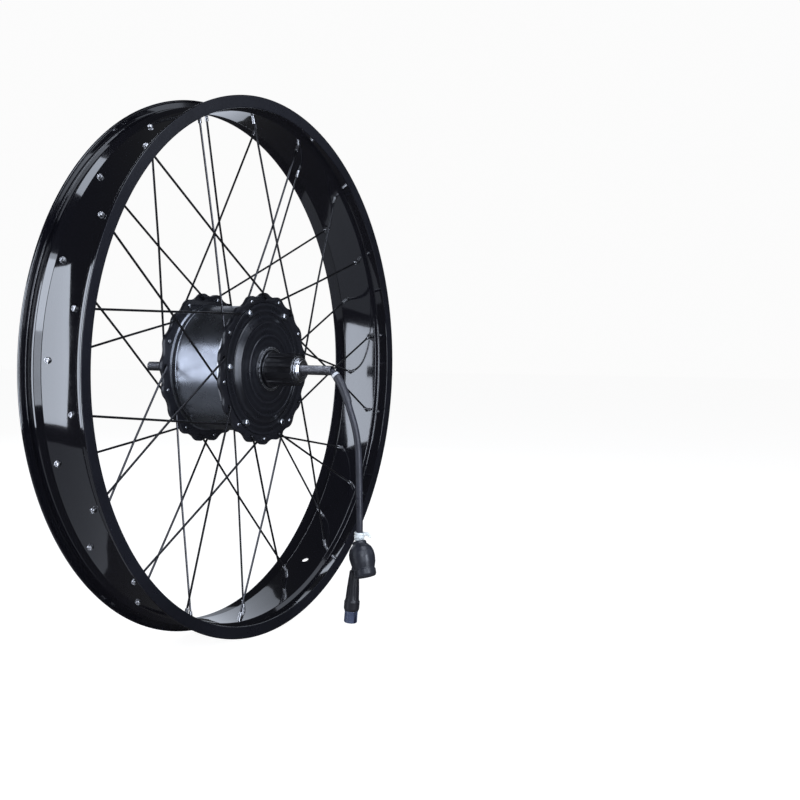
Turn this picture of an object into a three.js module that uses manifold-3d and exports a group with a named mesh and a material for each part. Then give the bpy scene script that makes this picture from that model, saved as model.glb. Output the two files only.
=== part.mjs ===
// A rear wheel with a geared hub motor for a fat-tyre bicycle.
// Millimetres. The wheel's centre is the origin, +Y runs along the axle away from the drive side,
// and +Z is up. Angles round the wheel are measured in the XZ plane from +X towards +Z.
import * as THREE from "three";
import { mergeVertices } from "three/addons/utils/BufferGeometryUtils.js";
import Module from "manifold-3d";

const wasm = await Module();
wasm.setup();

// ---------------------------------------------------------------- driving dimensions
const GAP = 0.3; // between neighbouring pieces

const RIM_R = 286; // outer edge of the rim
const RIM_W = 76; // overall width
const RIM_SEGMENTS = 48;
const VALVE_ANGLE = -57.5;
const VALVE_HOLE_R = 4.2;

const SPOKES_PER_SIDE = 18;
const PITCH = 360 / SPOKES_PER_SIDE;
const CROSSES = 2; // each spoke ends this many holes round from where it starts
const RIM_ROW_PHASE = { drive: 8, brake: 18 };
const FLANGE_PHASE = { drive: 10, brake: 18 };
const NIPPLE_ROW_Y = 13; // half the distance between the two nipple rows
const WIRE_R = 1.15;
const SPOKE_HEAD_R = 2.2;
const SPOKE_HEAD_T = 1.1;
const OUTSIDE_STAND = 1.5; // from the flange to a spoke that runs outside it
const INSIDE_STAND = 0.5;
const SPOKE_TOUCH = 0.7; // how far each of two crossing spokes lies from the middle between them
const NIPPLE_BODY_R = 1.8;
const NIPPLE_HEAD_R = 3;
const NIPPLE_HEAD_T = 2;
const NIPPLE_LENGTH = 13;
const NIPPLE_TOP_R = 275.4; // how far out the nipple heads reach
const NIPPLE_HOLE_R = 3; // corner radius of the square hole

const FLANGE_Y = 39; // outer face of each spoke flange
const FLANGE_T = 4.5;
const FLANGE_LOBE_R = 81;
const FLANGE_VALLEY_R = 77.5;
const SPOKE_CIRCLE_R = 75;
const SPOKE_HOLE_R = 1.9;

const BARREL_R = 67;
const BARREL_WALL = 4;
const GEAR_SEAT_R = 56.3;
const COVER_R = 70.5;
const COVER_FACE_Y = -39.8;
const SCREW_CIRCLE_R = 66;
const SCREWS = 6;
const SCREW_PHASE = -2;
const SCREW_SHANK_R = 2.1;
const SCREW_HEAD_R = 4.1;
const SCREW_HEAD_T = 2.6;

const BRAKE_FACE_Y = 72.2;
const BRAKE_BOLT_CIRCLE_R = 22;
const BRAKE_BOLTS = 6;
const BRAKE_BOLT_R = 2.5;
const BEARING_BOSS_R = 17;
const BEARING_BOSS_Y = 83;

const DROPOUT_Y = 87.5; // half the width over the locknuts
const AXLE_R = 6;
const AXLE_FLATS = 10;
const AXLE_DRIVE_END = -123;
const AXLE_BRAKE_END = 115.7;
const CABLE_BORE_R = 3.9;

const MODULE = 1.5;
const SUN_TEETH = 12;
const PLANET_TEETH = 24;
const RING_TEETH = 60;
const PLANETS = 3;
const TOOTH_TIP = 1.15; // beyond the pitch circle
const TOOTH_ROOT = 1.55; // short of the pitch circle
const GEAR_Y0 = 12.5;
const GEAR_Y1 = 25.5;

const FREEHUB_R = 17.2;
const FREEHUB_Y0 = -81.5;
const FREEHUB_Y1 = -48.6;

const CABLE_R = 3.5;

// ---------------------------------------------------------------- finishes
const finish = (color, roughness, metalness) => ({ color, roughness, metalness });
const RIM_BLACK = finish(0x0d0d10, 0.2, 0.3);
const SPOKE_BLACK = finish(0x16161a, 0.35, 0.8);
const SHELL_BLACK = finish(0x1b1c21, 0.38, 0.4);
const COVER_BLACK = finish(0x202228, 0.42, 0.3);
const STEEL = finish(0xa4a6aa, 0.3, 1);
const CHROME = finish(0xd4d6da, 0.12, 1);
const DARK_STEEL = finish(0x4a4b50, 0.4, 0.9);
const LAMINATION = finish(0x7c7e84, 0.5, 0.8);
const COPPER = finish(0xa5552b, 0.35, 0.9);
const MAGNET = finish(0x5c5d63, 0.35, 0.9);
const NYLON = finish(0xd8d2c0, 0.5, 0);
const BOARD = finish(0x1f5a34, 0.5, 0);
const RUBBER = finish(0x1a1b1f, 0.7, 0);
const CABLE_GREY = finish(0x3c3d44, 0.5, 0);
const TIE_WHITE = finish(0xe8ecec, 0.4, 0);
const COLLAR_BLUE = finish(0x6a7488, 0.3, 0);

// ---------------------------------------------------------------- geometry helpers
const rad = THREE.MathUtils.degToRad;
const v3 = (x, y, z) => new THREE.Vector3(x, y, z);

// The point at radius r and angle (degrees) in the XZ plane, at y along the axle.
const polar = (r, angle, y) => v3(r * Math.cos(rad(angle)), y, r * Math.sin(rad(angle)));

// A ring or disc turned about the axle from a closed outline of [radius, y] points.
function turned(outline, segments = 24) {
  const points = outline.map(([r, y]) => new THREE.Vector2(r, y));
  if (THREE.ShapeUtils.isClockWise(points)) points.reverse();
  points.push(points[0].clone());
  return new THREE.LatheGeometry(points, segments);
}

const ring = (r0, r1, y0, y1, segments = 20) =>
  turned([[r0, y0], [r1, y0], [r1, y1], [r0, y1]], segments);

// A solid disc or shaft turned about the axle: the outline starts and ends on the axis.
const shaft = (outline, segments = 16) =>
  new THREE.LatheGeometry(outline.map(([r, y]) => new THREE.Vector2(r, y)), segments);

// An outline in the XZ plane given by a radius for each angle in degrees.
function outlineOf(radiusAt, steps) {
  const points = [];
  for (let k = 0; k < steps; k += 1) {
    const a = (360 * k) / steps;
    const r = radiusAt(a);
    points.push(new THREE.Vector2(r * Math.cos(rad(a)), r * Math.sin(rad(a))));
  }
  return points;
}

const circle = (r, steps, x = 0, z = 0) =>
  outlineOf(() => r, steps).map((p) => new THREE.Vector2(p.x + x, p.y + z));

// A plate between y0 and y1 with an outline and holes drawn in the XZ plane.
function plate(outline, holes, y0, y1) {
  const shape = new THREE.Shape(outline);
  shape.holes = holes.map((h) => new THREE.Path(h));
  const body = new THREE.ExtrudeGeometry(shape, { depth: y1 - y0, bevelEnabled: false });
  return body.rotateX(Math.PI / 2).translate(0, y1, 0);
}

// A round bar from a to b.
function bar(a, b, r, sides = 6) {
  const along = b.clone().sub(a);
  const body = new THREE.CylinderGeometry(r, r, along.length(), sides);
  body.applyQuaternion(new THREE.Quaternion().setFromUnitVectors(v3(0, 1, 0), along.normalize()));
  return body.translate((a.x + b.x) / 2, (a.y + b.y) / 2, (a.z + b.z) / 2);
}

// A bar of changing radius from a towards b: the outline is [radius, distance from a].
function stepped(a, b, outline, sides) {
  const turn = new THREE.Quaternion().setFromUnitVectors(v3(0, 1, 0), b.clone().sub(a).normalize());
  return shaft(outline, sides).applyQuaternion(turn).translate(a.x, a.y, a.z);
}

// A wire that runs straight from each point to the next.
class Polyline extends THREE.Curve {
  constructor(points) {
    super();
    this.points = points;
  }
  getPoint(t) {
    const last = this.points.length - 1;
    const k = Math.min(Math.floor(t * last), last - 1);
    return this.points[k].clone().lerp(this.points[k + 1], t * last - k);
  }
  getPointAt(u) {
    return this.getPoint(u);
  }
}

function wire(points, r, sides) {
  const section = new THREE.Shape(circle(r, sides));
  const steps = points.length - 1;
  const extrudePath = new Polyline(points);
  return new THREE.ExtrudeGeometry(section, { steps, bevelEnabled: false, extrudePath });
}

// A tube of radius r along a smooth curve through points.
function swept(points, r, sides, steps) {
  const path = new THREE.CatmullRomCurve3(points, false, "centripetal");
  const section = new THREE.Shape(circle(r, sides));
  return new THREE.ExtrudeGeometry(section, { steps, bevelEnabled: false, extrudePath: path });
}

function solid(geometry) {
  const bare = geometry.index ? geometry.toNonIndexed() : geometry.clone();
  bare.deleteAttribute("normal");
  bare.deleteAttribute("uv");
  const merged = mergeVertices(bare, 1e-4);
  return new wasm.Manifold(
    new wasm.Mesh({
      numProp: 3,
      vertProperties: merged.attributes.position.array,
      triVerts: new Uint32Array(merged.index.array),
    }),
  );
}

function geometryOf(made) {
  const { vertProperties, triVerts } = made.getMesh();
  const g = new THREE.BufferGeometry();
  g.setAttribute("position", new THREE.BufferAttribute(new Float32Array(vertProperties), 3));
  g.setIndex(new THREE.BufferAttribute(new Uint32Array(triVerts), 1));
  g.computeVertexNormals();
  return g;
}

const joined = (...parts) => geometryOf(parts.map(solid).reduce((a, b) => a.add(b)));
const cut = (part, ...tools) => geometryOf(tools.map(solid).reduce((a, b) => a.subtract(b), solid(part)));

// ---------------------------------------------------------------- assembly
const wheelMotor = new THREE.Group();

function piece(name, geometry, look, place = null) {
  const mesh = new THREE.Mesh(geometry, new THREE.MeshStandardMaterial(look));
  mesh.name = name;
  if (place) mesh.position.copy(place);
  wheelMotor.add(mesh);
}

// ---------------------------------------------------------------- spokes
// Spokes leave each flange alternately on its outer and inner face. Even holes lead, odd holes trail.
function spokeEnds(side, hole) {
  const sign = side === "drive" ? -1 : 1;
  const even = hole % 2 === 0;
  const outside = side === "drive" ? even : !even;
  const holeAngle = FLANGE_PHASE[side] + PITCH * hole;
  const rimAngle = RIM_ROW_PHASE[side] + PITCH * (hole + (even ? CROSSES : -CROSSES));
  const outerFace = sign * FLANGE_Y;
  const innerFace = sign * (FLANGE_Y - FLANGE_T);
  const elbowY = outside
    ? outerFace + sign * (WIRE_R + OUTSIDE_STAND)
    : innerFace - sign * (WIRE_R + INSIDE_STAND);
  const headY = outside ? innerFace - sign * GAP : outerFace + sign * GAP;
  return {
    elbow: polar(SPOKE_CIRCLE_R, holeAngle, elbowY),
    head: polar(SPOKE_CIRCLE_R, holeAngle, headY),
    headSign: Math.sign(headY - elbowY),
    rim: polar(NIPPLE_TOP_R, rimAngle, sign * NIPPLE_ROW_Y),
    outward: outside ? sign : -sign,
  };
}

// The point halfway between two spokes where they cross, seen along the axle.
function crossing(a, b) {
  const onA = a.rim.clone().sub(a.elbow);
  const onB = b.rim.clone().sub(b.elbow);
  const between = b.elbow.clone().sub(a.elbow);
  const det = onA.x * onB.z - onA.z * onB.x;
  const t = (between.x * onB.z - between.z * onB.x) / det;
  const u = (between.x * onA.z - between.z * onA.x) / det;
  const pointA = a.elbow.clone().addScaledVector(onA, t);
  const pointB = b.elbow.clone().addScaledVector(onB, u);
  return pointA.lerp(pointB, 0.5);
}

// One spoke with its nipple, bent a little where it touches the spoke that it crosses.
function spokeSolids(spoke, touch) {
  const out = spoke.rim.clone().sub(touch).normalize();
  const belowTop = (d) => spoke.rim.clone().addScaledVector(out, -d);
  const headEnd = spoke.head.clone().add(v3(0, SPOKE_HEAD_T * spoke.headSign, 0));
  const head = [
    [0, 0],
    [SPOKE_HEAD_R, 0],
    [SPOKE_HEAD_R, SPOKE_HEAD_T],
    [0, SPOKE_HEAD_T],
  ];
  const nipple = [
    [0, 0],
    [NIPPLE_BODY_R, 0],
    [NIPPLE_BODY_R, NIPPLE_LENGTH - NIPPLE_HEAD_T],
    [NIPPLE_HEAD_R, NIPPLE_LENGTH - NIPPLE_HEAD_T],
    [NIPPLE_HEAD_R, NIPPLE_LENGTH],
    [0, NIPPLE_LENGTH],
  ];
  return [
    stepped(spoke.head, headEnd, head, 6),
    wire([spoke.head.clone().lerp(headEnd, 0.5), spoke.elbow, touch, belowTop(NIPPLE_LENGTH - 1)], WIRE_R, 4),
    stepped(belowTop(NIPPLE_LENGTH), spoke.rim, nipple, 5),
  ];
}

const nippleHoles = [];
for (const side of ["drive", "brake"]) {
  for (let k = 0; k < SPOKES_PER_SIDE / 2; k += 1) {
    const lead = spokeEnds(side, 2 * k);
    const trail = spokeEnds(side, 2 * k + 2 * CROSSES - 1);
    const middle = crossing(lead, trail);
    const bars = [lead, trail].flatMap((spoke) => {
      const touch = middle.clone().add(v3(0, SPOKE_TOUCH * spoke.outward, 0));
      const out = spoke.rim.clone().sub(touch).normalize().multiplyScalar(9);
      nippleHoles.push(bar(spoke.rim.clone().sub(out), spoke.rim.clone().add(out), NIPPLE_HOLE_R, 4));
      return spokeSolids(spoke, touch);
    });
    piece(`${side}_spokes_${String(k + 1).padStart(2, "0")}`, joined(...bars), SPOKE_BLACK);
  }
}

// ---------------------------------------------------------------- rim
function rimSection() {
  const half = RIM_W / 2;
  const inner = [
    [RIM_R, half],
    [RIM_R - 12.5, half],
    [RIM_R - 11, half - 6],
    [RIM_R - 11, half - 11],
    [RIM_R - 16, half - 16.5],
  ];
  const outer = [
    [RIM_R - 13.7, half - 17.5],
    [RIM_R - 8, half - 12],
    [RIM_R - 8, half - 2.6],
    [RIM_R, half - 2.4],
  ];
  const flipped = (points) => points.map(([r, y]) => [r, -y]).reverse();
  return [...inner, ...flipped(inner), ...flipped(outer), ...outer];
}

const valveHole = bar(polar(RIM_R - 25, VALVE_ANGLE, 0), polar(RIM_R, VALVE_ANGLE, 0), VALVE_HOLE_R, 8);
piece("rim", cut(turned(rimSection(), RIM_SEGMENTS), ...nippleHoles, valveHole), RIM_BLACK);

// ---------------------------------------------------------------- hub shell
const LOBE_STEPS = 4;

function flangeOutline(phase) {
  const swing = (FLANGE_LOBE_R - FLANGE_VALLEY_R) / 2;
  const middle = FLANGE_VALLEY_R + swing;
  const wave = (a) => Math.cos(rad(SPOKES_PER_SIDE * (a - phase)));
  return outlineOf((a) => middle + swing * wave(a), SPOKES_PER_SIDE * LOBE_STEPS);
}

function flange(side, holeR, y0, y1) {
  const holes = [circle(holeR, 36)];
  for (let k = 0; k < SPOKES_PER_SIDE; k += 1) {
    const at = polar(SPOKE_CIRCLE_R, FLANGE_PHASE[side] + PITCH * k, 0);
    holes.push(circle(SPOKE_HOLE_R, 6, at.x, at.z));
  }
  return plate(flangeOutline(FLANGE_PHASE[side]), holes, y0, y1);
}

// The brake boss is a six-lobed block with a bolt hole in each lobe.
const bossOutline = outlineOf((a) => 20 + 6.6 * (0.5 + 0.5 * Math.cos(rad(BRAKE_BOLTS * a))) ** 2.2, 36);
const brakeBolts = [];
for (let k = 0; k < BRAKE_BOLTS; k += 1) {
  const at = polar(BRAKE_BOLT_CIRCLE_R, (360 * k) / BRAKE_BOLTS, 0);
  brakeBolts.push(circle(BRAKE_BOLT_R, 6, at.x, at.z));
}
const bossBore = circle(BEARING_BOSS_R - 1, 16);

const barrelInner = BARREL_R - BARREL_WALL;
const coverSeatY = -36;
const wallInnerY = FLANGE_Y + 0.5;
const bearingSeatR = 14.3;
const barrel = turned(
  [
    [barrelInner, coverSeatY],
    [73, coverSeatY],
    [71, -33.5],
    [71, -28],
    [BARREL_R, -26.5],
    [BARREL_R, FLANGE_Y],
    [60, FLANGE_Y],
    [57, 41.5],
    [50, 43.5],
    [35, 43.5],
    [34, 42.5],
    [BEARING_BOSS_R, 42.5],
    [BEARING_BOSS_R, BEARING_BOSS_Y],
    [11.5, BEARING_BOSS_Y],
    [11.5, BEARING_BOSS_Y - 1.5],
    [bearingSeatR, BEARING_BOSS_Y - 1.5],
    [bearingSeatR, wallInnerY],
    [50, wallInnerY],
    [GEAR_SEAT_R, 36],
    [GEAR_SEAT_R, 12],
    [barrelInner, 9],
  ],
  36,
);

const screwAt = (k, y) => polar(SCREW_CIRCLE_R, SCREW_PHASE + (360 * k) / SCREWS, y);
const screwHoles = (r, y0, y1) =>
  Array.from({ length: SCREWS }, (_, k) => bar(screwAt(k, y0), screwAt(k, y1), r, 6));

const shell = joined(
  barrel,
  flange("drive", COVER_R + GAP, -FLANGE_Y, FLANGE_T - FLANGE_Y),
  flange("brake", 64, FLANGE_Y - FLANGE_T, FLANGE_Y),
  plate(bossOutline, [bossBore], 42, 60),
  plate(bossOutline, [bossBore, ...brakeBolts], 60, BRAKE_FACE_Y),
);
piece("hub_shell", cut(shell, ...screwHoles(SCREW_SHANK_R + 0.6, coverSeatY - 1, -29)), SHELL_BLACK);

// ---------------------------------------------------------------- drive side cover and its screws
const coverBack = coverSeatY - GAP;
const coverBoreR = 15.3;
const cover = turned(
  [
    [coverBoreR, -33.2],
    [coverBoreR, -46.8],
    [22.5, -46.8],
    [24, -44.3],
    [34, -44.3],
    [35.2, -44.9],
    [36.4, -44.3],
    [51.9, -43.9],
    [55.5, -42.8],
    [57.2, -39.2],
    [60, -39.2],
    [60.5, COVER_FACE_Y],
    [COVER_R, COVER_FACE_Y],
    [COVER_R, coverBack],
    [57, coverBack],
    [50, -40.4],
    [20, -33.2],
  ],
  36,
);
piece(
  "drive_side_cover",
  cut(cover, ...screwHoles(SCREW_SHANK_R + 0.6, COVER_FACE_Y - 1, coverBack + 1)),
  COVER_BLACK,
);
for (let k = 0; k < SCREWS; k += 1) {
  const underHead = COVER_FACE_Y - GAP;
  const outline = [
    [0, underHead - SCREW_HEAD_T],
    [SCREW_HEAD_R, underHead - SCREW_HEAD_T],
    [SCREW_HEAD_R, underHead],
    [SCREW_SHANK_R, underHead],
    [SCREW_SHANK_R, -30],
    [0, -30],
  ];
  piece(`cover_screw_${k + 1}`, shaft(outline, 8), STEEL, screwAt(k, 0));
}

// ---------------------------------------------------------------- wheel bearings and seal
const bearing = (name, bore, outer, y0, y1) => piece(name, ring(bore, outer, y0, y1), STEEL);

const axleBore = AXLE_R + GAP;
bearing("brake_side_bearing", axleBore, bearingSeatR - GAP, 73, 81.2);
piece("brake_side_seal", ring(axleBore, 11.2, 81.8, BEARING_BOSS_Y), RUBBER);

const AXLE_SEAT_R = 8.5; // the thick middle of the axle, under the drive side bearing and the freehub
bearing("drive_side_bearing", AXLE_SEAT_R + GAP, coverBoreR - GAP, -40.4, -33.4);

// ---------------------------------------------------------------- freehub
const coreBore = AXLE_SEAT_R + 0.4;
piece(
  "freehub_core",
  turned([
    [coreBore, -80],
    [11.3, -80],
    [11.3, -47.1],
    [coverBoreR - GAP, -46.8],
    [coverBoreR - GAP, -41],
    [coreBore, -41],
  ]),
  DARK_STEEL,
);

// Nine splines, the last one narrower than the rest, so a cassette fits one way round.
const SPLINES = 9;
const SPLINE_DEPTH = 1.6;
function splineOutline() {
  const points = [];
  for (let k = 0; k < SPLINES; k += 1) {
    const centre = (360 * k) / SPLINES;
    const half = k === 0 ? 6 : 10;
    const corner = (r, a) => new THREE.Vector2(r * Math.cos(rad(a)), r * Math.sin(rad(a)));
    points.push(corner(FREEHUB_R - SPLINE_DEPTH, centre - half - 1.5));
    points.push(corner(FREEHUB_R, centre - half));
    points.push(corner(FREEHUB_R, centre));
    points.push(corner(FREEHUB_R, centre + half));
    points.push(corner(FREEHUB_R - SPLINE_DEPTH, centre + half + 1.5));
  }
  return points;
}
const freehubBore = circle(13.4, 16);
piece(
  "freehub_body",
  joined(
    plate(splineOutline(), [freehubBore], FREEHUB_Y0, FREEHUB_Y1 - 1.9),
    plate(circle(19.4, 24), [freehubBore], FREEHUB_Y1 - 2, FREEHUB_Y1),
  ),
  DARK_STEEL,
);
bearing("freehub_inner_bearing", 11.6, 13.1, -54, -50);
bearing("freehub_outer_bearing", 11.6, 13.1, -79.8, -75.8);

// ---------------------------------------------------------------- axle and locknuts
const flatCutter = (z, y0, y1) => {
  const box = new THREE.BoxGeometry(20, y1 - y0, 10);
  return box.translate(0, (y0 + y1) / 2, z + Math.sign(z) * 5);
};
const STATOR_SEAT_R = 12;
const cableBoreEnd = -28;
const axleBlank = shaft([
  [0, cableBoreEnd],
  [CABLE_BORE_R, cableBoreEnd],
  [CABLE_BORE_R, AXLE_DRIVE_END],
  [AXLE_R - 0.8, AXLE_DRIVE_END],
  [AXLE_R, AXLE_DRIVE_END + 0.8],
  [AXLE_R, -81.9],
  [AXLE_SEAT_R, -81.9],
  [AXLE_SEAT_R, -25],
  [STATOR_SEAT_R, -25],
  [STATOR_SEAT_R, 2],
  [AXLE_R, 2.8],
  [AXLE_R, AXLE_BRAKE_END - 1],
  [AXLE_R - 1, AXLE_BRAKE_END],
  [0, AXLE_BRAKE_END],
]);
const flatZ = AXLE_FLATS / 2;
const axle = cut(
  axleBlank,
  flatCutter(flatZ, AXLE_DRIVE_END - 1, -DROPOUT_Y),
  flatCutter(-flatZ, AXLE_DRIVE_END - 1, -DROPOUT_Y),
  flatCutter(flatZ, DROPOUT_Y, AXLE_BRAKE_END + 1),
  flatCutter(-flatZ, DROPOUT_Y, AXLE_BRAKE_END + 1),
  bar(v3(0, -117, 2), v3(0, -130, -9), CABLE_BORE_R, 12),
  bar(v3(0, -30, 0), v3(0, -30, 12), 3, 8),
);
piece("axle", axle, STEEL);

piece(
  "drive_side_locknut",
  turned([
    [axleBore, -82.3],
    [13, -82.3],
    [13, -83.4],
    [11.4, -83.8],
    [11.4, -84.6],
    [12, -85],
    [10, -DROPOUT_Y],
    [axleBore, -DROPOUT_Y],
  ]),
  CHROME,
);
piece(
  "brake_side_locknut",
  turned([
    [axleBore, BEARING_BOSS_Y + 0.4],
    [9.4, BEARING_BOSS_Y + 0.4],
    [10, BEARING_BOSS_Y + 1],
    [10, DROPOUT_Y],
    [axleBore, DROPOUT_Y],
  ]),
  CHROME,
);

// ---------------------------------------------------------------- stator
const STATOR_R = 44.2;
const STATOR_Y0 = -22;
const STATOR_Y1 = 2;
const STATOR_TEETH = 18;

function statorOutline() {
  const tooth = [
    [STATOR_R, -8],
    [STATOR_R, 8],
    [40.5, 3.8],
    [20, 7.4],
    [20, 12.6],
    [40.5, 16.2],
  ];
  const points = [];
  for (let k = 0; k < STATOR_TEETH; k += 1)
    for (const [r, a] of tooth) {
      const at = polar(r, a + (360 * k) / STATOR_TEETH, 0);
      points.push(new THREE.Vector2(at.x, at.z));
    }
  return points;
}
piece(
  "stator_core",
  plate(statorOutline(), [circle(STATOR_SEAT_R + GAP, 24)], STATOR_Y0, STATOR_Y1),
  LAMINATION,
);

// Copper fills the slots between the teeth, and its end turns join them at the drive side face.
function slotCopper(k) {
  const middle = 10 + (360 * k) / STATOR_TEETH;
  const corners = [
    [26, -3.4],
    [39, -5.3],
    [39, 5.3],
    [26, 3.4],
  ];
  const outline = corners.map(([r, a]) => {
    const at = polar(r, middle + a, 0);
    return new THREE.Vector2(at.x, at.z);
  });
  return plate(outline, [], STATOR_Y0 - 1, STATOR_Y1 + 3.5);
}
const endTurns = (y0, y1) => ring(25, 39.4, y0, y1, 18);
const slots = Array.from({ length: STATOR_TEETH }, (_, k) => slotCopper(k));
piece(
  "stator_winding",
  joined(
    endTurns(STATOR_Y0 - 5.3, STATOR_Y0 - GAP),
    ...slots,
  ),
  COPPER,
);
piece("hall_sensor_board", plate(circle(24, 24), [circle(AXLE_SEAT_R + GAP, 16)], -29.4, -27.8), BOARD);

// ---------------------------------------------------------------- rotor
piece(
  "rotor_can",
  turned(
    [
      [12, 3.5],
      [16, 3.5],
      [16, 7.2],
      [49.5, 7.2],
      [49.5, -25],
      [52, -25],
      [52, 10],
      [12, 10],
    ],
    32,
  ),
  STEEL,
);
const MAGNETS = 20;
const grooveAt = (a) => (Math.round((a * MAGNETS * 3) / 360) % 3 === 0 ? 46.4 : 45.2);
const magnetInner = outlineOf(grooveAt, MAGNETS * 3);
piece("magnet_ring", plate(circle(49.1, 30), [magnetInner], STATOR_Y0, STATOR_Y1), MAGNET);
bearing("rotor_bearing", axleBore, 11.7, 4, 10);

// ---------------------------------------------------------------- planetary gears
const pitchR = (teeth) => (teeth * MODULE) / 2;

// Tooth flanks run straight from root to tip. Tip and root are measured from the pitch circle.
function toothOutline(teeth, tip, root, phase) {
  const points = [];
  const pitch = 360 / teeth;
  const tipHalf = 0.11 * pitch;
  const rootHalf = 0.33 * pitch;
  for (let k = 0; k < teeth; k += 1)
    for (const [r, a] of [[root, -rootHalf], [tip, -tipHalf], [tip, tipHalf], [root, rootHalf]]) {
      const at = polar(pitchR(teeth) + r, phase + k * pitch + a, 0);
      points.push(new THREE.Vector2(at.x, at.z));
    }
  return points;
}

piece(
  "sun_gear",
  joined(
    plate(toothOutline(SUN_TEETH, TOOTH_TIP, -TOOTH_ROOT, 0), [circle(6.6, 16)], 12, GEAR_Y1),
    ring(6.6, 17, 10.3, 12.1),
  ),
  STEEL,
);
const ringGear = plate(
  circle(GEAR_SEAT_R - GAP, 36),
  [toothOutline(RING_TEETH, -TOOTH_TIP, TOOTH_ROOT, 0)],
  12.3,
  GEAR_Y1 + 0.5,
);
piece("ring_gear", ringGear, DARK_STEEL);

const CARRIER_R = pitchR(SUN_TEETH) + pitchR(PLANET_TEETH);
const PIN_R = 4;
const planetAngle = (k) => 90 + (360 * k) / PLANETS;
const planetAt = (k, y) => polar(CARRIER_R, planetAngle(k), y);

for (let k = 0; k < PLANETS; k += 1) {
  const spin = 180 - 180 / PLANET_TEETH + planetAngle(k) * (1 + SUN_TEETH / PLANET_TEETH);
  const teeth = toothOutline(PLANET_TEETH, TOOTH_TIP, -TOOTH_ROOT, spin);
  const planet = plate(teeth, [circle(PIN_R + 0.6, 10)], GEAR_Y0, GEAR_Y1);
  piece(`planet_gear_${k + 1}`, planet, NYLON, planetAt(k, 0));
  piece(`planet_pin_${k + 1}`, bar(planetAt(k, GEAR_Y0), planetAt(k, 31.3), PIN_R, 10), STEEL);
}

const carrierHoles = Array.from({ length: PLANETS }, (_, k) =>
  bar(planetAt(k, 20), planetAt(k, 40), PIN_R + 0.6, 10),
);
const carrier = turned([
  [13.2, GEAR_Y1 + 0.4],
  [36, GEAR_Y1 + 0.4],
  [36, 30.5],
  [18, 31.5],
  [18, 33.5],
  [13.2, 33.5],
]);
piece("planet_carrier", cut(carrier, ...carrierHoles), STEEL);
piece("one_way_clutch", ring(axleBore, 12.9, 26.2, 33.4), DARK_STEEL);

// ---------------------------------------------------------------- cable
// The cable leaves the hollow end of the axle, bends down and hangs, then passes through the boot.
const ROUTE = [
  [0, -121.5, -1],
  [0, -126.6, -4.5],
  [0, -131.4, -10.5],
  [0, -136.3, -19],
  [0, -140.8, -29.5],
  [0, -144.9, -41],
  [0, -149.2, -53],
  [0, -152.4, -65],
  [0, -154.6, -79],
  [0, -155.6, -93],
  [0, -156, -108],
  [0, -156.4, -123],
  [0.1, -156.8, -136],
  [0.4, -157, -149],
  [0.9, -156.9, -160],
  [1.7, -156.3, -170],
  [2.8, -155, -180],
  [4, -153, -190],
  [5.1, -150.7, -199],
  [6, -148.6, -206.5],
];
const CABLE_STEPS = 33;
const cablePath = new THREE.CatmullRomCurve3(ROUTE.map((p) => v3(...p)), false, "centripetal");
const cablePoints = cablePath.getSpacedPoints(CABLE_STEPS);

piece("motor_cable", swept(cablePoints, CABLE_R, 8, CABLE_STEPS), CABLE_GREY);

const SLEEVE_FROM = 1;
const SLEEVE_TO = 7;
function sleeve() {
  const points = cablePoints.slice(SLEEVE_FROM, SLEEVE_TO + 1);
  const path = new THREE.CatmullRomCurve3(points, false, "centripetal");
  const section = new THREE.Shape(circle(4.9, 8));
  section.holes = [new THREE.Path(circle(CABLE_R + 0.4, 8))];
  const steps = SLEEVE_TO - SLEEVE_FROM;
  return new THREE.ExtrudeGeometry(section, { steps, bevelEnabled: false, extrudePath: path });
}
piece("cable_sleeve", sleeve(), RUBBER);

// Turns a piece made along +Y so that it lies at a point of the cable, along direction.
function laid(geometry, at, direction) {
  const turn = new THREE.Quaternion().setFromUnitVectors(v3(0, 1, 0), direction.clone().normalize());
  return geometry.applyQuaternion(turn).translate(at.x, at.y, at.z);
}

const TIE_ALONG = 0.8; // share of the cable's length above the tie
const tieAt = cablePath.getPointAt(TIE_ALONG);
const tieDown = cablePath.getTangentAt(TIE_ALONG);
const tieBand = laid(ring(CABLE_R + 0.5, 5.6, -4.5, 4.5, 12), tieAt, tieDown);
const tieTail = new THREE.BoxGeometry(4, 9, 3).translate(tieAt.x, tieAt.y - 8.5, tieAt.z + 1);
piece("cable_tie", joined(tieBand, tieTail), TIE_WHITE);

const BOOT_FROM = 23; // the cable step above the boot
const BOOT_TOP = v3(0, -157, -175);
const BOOT_DOWN = v3(-0.15, -0.32, -0.935);
const bootBody = shaft(
  [
    [0, 0],
    [8, 0],
    [11, 4],
    [13, 12],
    [13.2, 22],
    [13.6, 30],
    [11.5, 35],
    [6, 37.5],
    [0, 38],
  ],
  14,
);
const channel = swept(cablePoints.slice(BOOT_FROM), CABLE_R + 0.5, 8, CABLE_STEPS - BOOT_FROM);
piece("nut_boot", cut(laid(bootBody, BOOT_TOP, BOOT_DOWN), channel), RUBBER);

const PLUG_TOP = v3(6.1, -148.45, -207.3);
const PLUG_DOWN = v3(0.04, 0.1, -0.994);
const plugBody = shaft(
  [
    [0, 0],
    [5.1, 0],
    [5.3, 4],
    [7.3, 31],
    [8.1, 32.5],
    [8.1, 40],
    [7.4, 42],
    [0, 42],
  ],
  16,
);
piece("connector_body", laid(plugBody, PLUG_TOP, PLUG_DOWN), RUBBER);
const plugCollar = turned(
  [
    [0.4, 42.3],
    [7.1, 42.3],
    [7.1, 55],
    [5.9, 55],
    [5.9, 46],
    [0.4, 46],
  ],
  16,
);
piece("connector_collar", laid(plugCollar, PLUG_TOP, PLUG_DOWN), COLLAR_BLUE);

export default wheelMotor;
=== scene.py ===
import math

import bmesh
import bpy
from mathutils import Matrix, Vector
from mathutils.geometry import tessellate_polygon


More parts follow.
